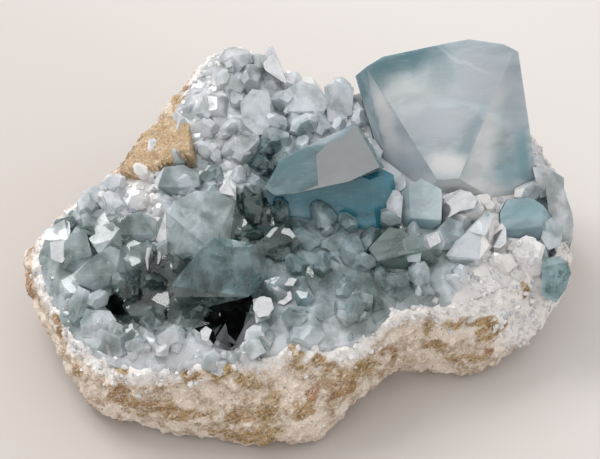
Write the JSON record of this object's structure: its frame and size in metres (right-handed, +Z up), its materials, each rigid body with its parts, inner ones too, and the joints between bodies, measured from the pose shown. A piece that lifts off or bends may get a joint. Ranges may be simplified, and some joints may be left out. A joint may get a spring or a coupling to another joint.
{
  "type": "celestite crystal cluster",
  "caption": "Cluster of pale blue celestite crystals, from tiny grains to one large blocky crystal, grown on a flat-bottomed lump of cream rock; it rests on a shelf as a display specimen.",
  "frame": {"origin": "bottom centre of the cluster's bounding box, on the flat that the rock rests on", "axes": "+X to the viewer's right along the longest side, +Y away from the viewer, +Z up from the cut foot of the rock through the crystals"},
  "size_m": [0.1393, 0.0984, 0.0716],
  "materials": {
    "matrix": "rough, granular, cream with tan stains",
    "druse": "clear to milky grey-green crystal faces",
    "great_crystal": "glossy, pale blue with white veils and darker teal zones",
    "prism_crystal": "mirror-smooth, clear blue-grey",
    "teal_crystal": "smooth, clear deep teal",
    "pointed_crystal": "smooth, clear grey-green",
    "pale_crystal": "smooth, milky pale blue",
    "blue_crystal": "smooth, clear pale blue"
  },
  "bodies": {
    "root": {"matrix": "matrix", "druse": "druse", "great_crystal": "great_crystal", "prism_crystal": "prism_crystal", "teal_crystal": "teal_crystal", "pointed_crystal": "pointed_crystal", "pale_crystal": "pale_crystal", "blue_crystal": "blue_crystal"}
  },
  "joints": []
}
